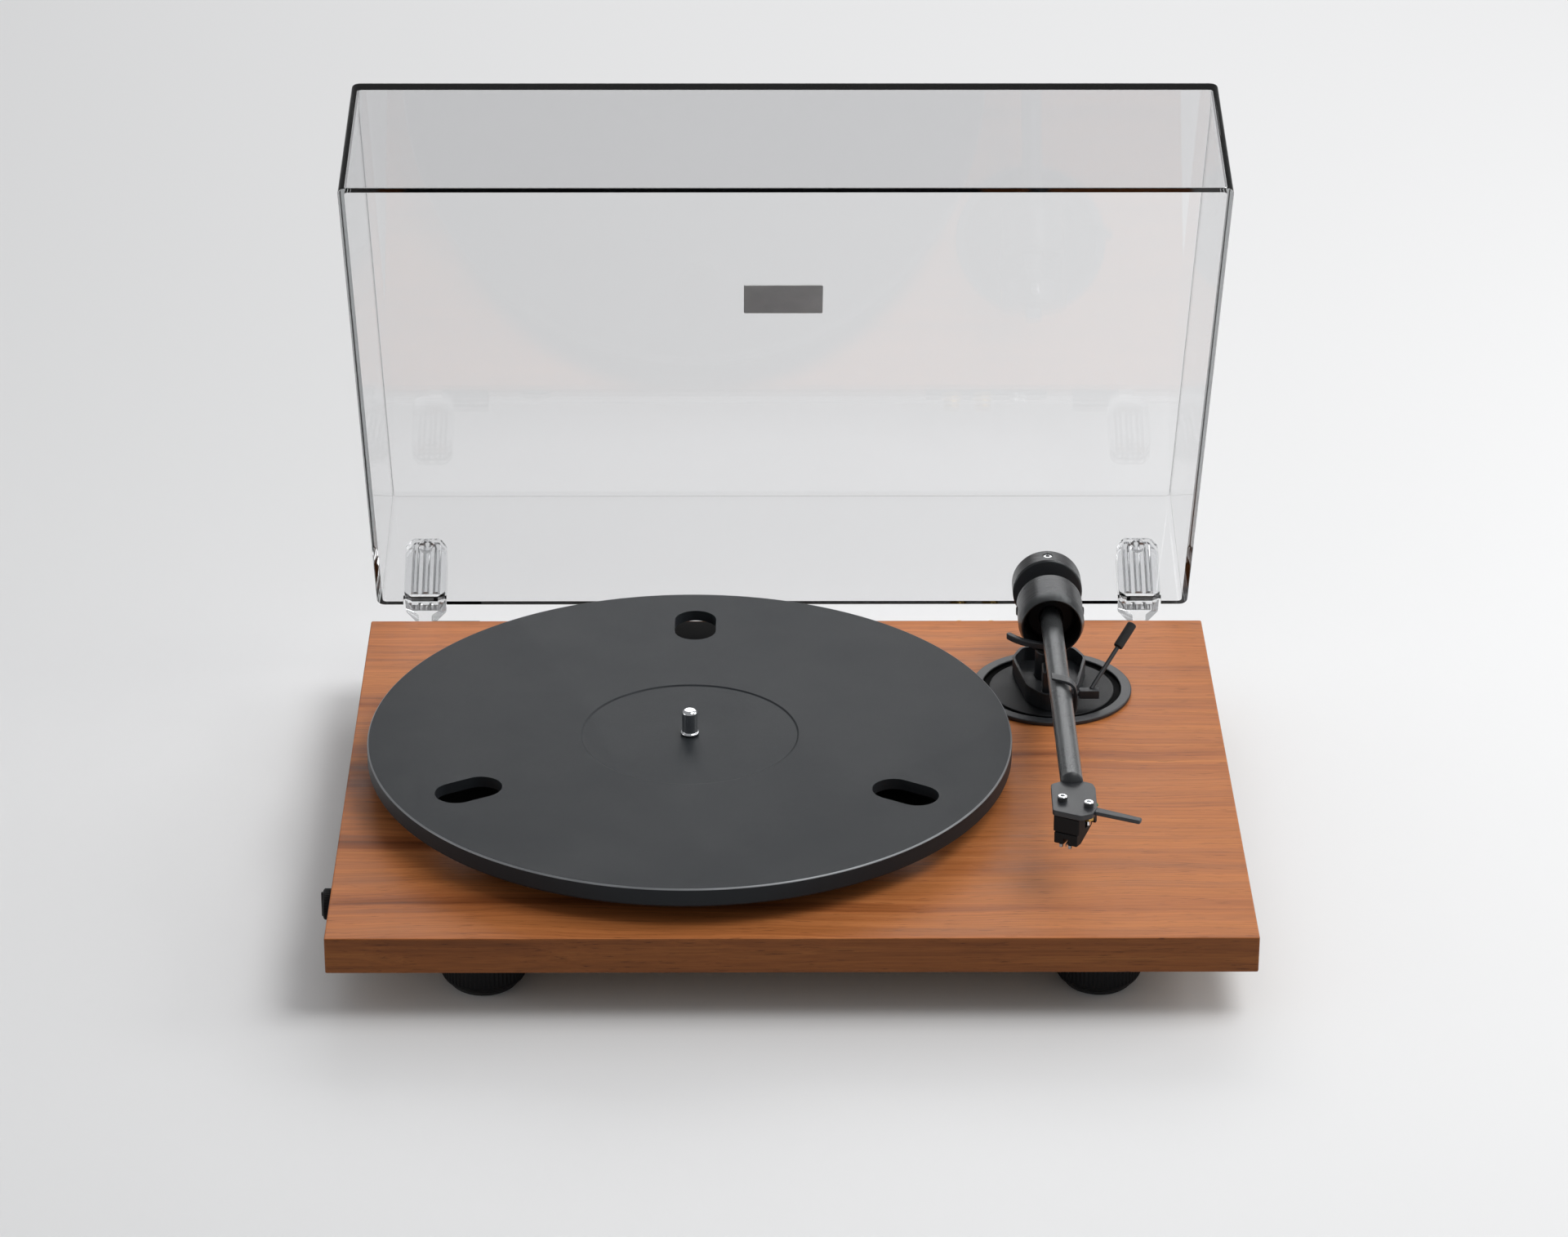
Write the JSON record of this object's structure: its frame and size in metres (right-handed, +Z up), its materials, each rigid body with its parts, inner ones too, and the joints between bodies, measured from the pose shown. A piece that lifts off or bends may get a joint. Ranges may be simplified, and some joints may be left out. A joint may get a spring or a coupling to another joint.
{
  "type": "turntable record player",
  "caption": "Belt-drive turntable: flat wood-veneer plinth, slotted platter, straight tonearm with cue lever, and a clear hinged lid held open.",
  "frame": {"origin": "centre of the bounding box of the rest pose (lid open) at the height of the surface it stands on", "axes": "+X to the right of the player, +Y to its back, +Z up"},
  "size_m": [0.4162, 0.3866, 0.3496],
  "materials": {
    "walnut_veneer": "satin, grain along X",
    "platter_coating": "fine matte coating",
    "black_plastic": "matte moulded",
    "satin_black": "satin",
    "rubber": "matte",
    "polished_steel": "polished",
    "steel": "turned",
    "grey_steel": "satin, dark grey coating",
    "grey_anodised": "satin grey anodised",
    "black_anodised": "satin black anodised",
    "brass": "turned",
    "circuit_board": "solder mask",
    "clear_acrylic": "polished, clear",
    "clear_plastic": "polished, clear",
    "wire_red": "wire sleeve",
    "wire_white": "wire sleeve",
    "wire_blue": "wire sleeve",
    "wire_green": "wire sleeve"
  },
  "bodies": {
    "base": {"arm_base_plate": "satin_black", "arm_base_ring": "satin_black", "arm_column": "satin_black", "arm_rest": "satin_black", "bearing_shield": "satin_black", "bottom_cover": "black_plastic", "circuit_board": "circuit_board", "drive_belt": "rubber", "foot_front_left": "black_plastic", "foot_front_right": "black_plastic", "foot_pad_front_left": "rubber", "foot_pad_front_right": "rubber", "foot_pad_rear_left": "rubber", "foot_pad_rear_right": "rubber", "foot_rear_left": "black_plastic", "foot_rear_right": "black_plastic", "ground_post": "polished_steel", "hinge_bracket_left": "black_plastic", "hinge_bracket_right": "black_plastic", "jack_left": "brass", "jack_right": "brass", "main_bearing": "brass", "motor": "steel", "motor_plate": "steel", "plinth": "walnut_veneer", "power_socket": "black_plastic", "terminal_panel": "black_plastic", "thrust_ball": "steel"},
    "platter": {"platter": "platter_coating", "sub_platter": "black_plastic", "spindle": "polished_steel"},
    "motor_pulley": {"motor_pulley": "brass"},
    "speed_knob": {"speed_knob": "black_plastic"},
    "lid": {"lid": "clear_acrylic", "lid_badge": "grey_anodised", "lid_hinge_left": "clear_plastic", "lid_hinge_right": "clear_plastic"},
    "arm_yoke": {"yoke_shaft": "satin_black", "bearing_ring": "grey_anodised", "pivot_screw_left": "black_plastic", "pivot_screw_right": "black_plastic"},
    "arm_tube": {"arm_tube": "black_anodised", "bearing_block": "black_plastic", "headshell": "satin_black", "cartridge_body": "black_plastic", "stylus_unit": "black_plastic", "cantilever": "steel", "mount_screw_left": "polished_steel", "mount_screw_right": "polished_steel", "mount_nut_left": "brass", "mount_nut_right": "brass", "lead_red": "wire_red", "lead_white": "wire_white", "lead_blue": "wire_blue", "lead_green": "wire_green"},
    "counterweight": {"counterweight": "grey_steel", "weight_screw": "polished_steel"},
    "lift_bar": {"lift_bar": "satin_black"},
    "cue_lever": {"cue_lever": "satin_black", "cue_grip": "rubber"}
  },
  "joints": [
    {"name": "platter_spin", "type": "hinge", "parent": "base", "child": "platter", "pos_m": [-0.0439, -0.03351, 0.0414], "axis": [0, 0, -1], "continuous": true},
    {"name": "pulley_spin", "type": "hinge", "parent": "base", "child": "motor_pulley", "pos_m": [-0.10895, 0.03154, 0.0414], "axis": [0, 0, -1], "continuous": true},
    {"name": "speed_turn", "type": "hinge", "parent": "base", "child": "speed_knob", "pos_m": [-0.20335, -0.14501, 0.0322], "axis": [-1, 0, 0], "range_deg": [0, 60]},
    {"name": "lid_turn", "type": "hinge", "parent": "base", "child": "lid", "pos_m": [0.0004, 0.13129, 0.033], "axis": [1, 0, 0], "range_deg": [0, 62.7]},
    {"name": "arm_swing", "type": "hinge", "parent": "base", "child": "arm_yoke", "pos_m": [0.1284, 0.05809, 0.0794], "axis": [0, 0, 1], "range_deg": [-47, 0]},
    {"name": "arm_dip", "type": "hinge", "parent": "arm_yoke", "child": "arm_tube", "pos_m": [0.1284, 0.05809, 0.0794], "axis": [1, -0.003, 0], "range_deg": [0, 1.75]},
    {"name": "weight_slide", "type": "slide", "parent": "arm_tube", "child": "counterweight", "axis": [-0.003, -0.9996, 0.0297], "range_m": [-0.004, 0.006]},
    {"name": "bar_slide", "type": "slide", "parent": "base", "child": "lift_bar", "axis": [0, 0, 1], "range_m": [-0.0013, 0]},
    {"name": "cue_turn", "type": "hinge", "parent": "base", "child": "cue_lever", "pos_m": [0.1454, 0.03109, 0.0488], "axis": [1, 0, 0], "range_deg": [0, 70]}
  ],
  "couplings": [
    {"joint": "pulley_spin", "follows": "platter_spin", "ratio": 6.4},
    {"joint": "cue_turn", "follows": "arm_dip", "ratio": 39.99},
    {"joint": "bar_slide", "follows": "arm_dip", "m_per_rad": -0.0425}
  ]
}
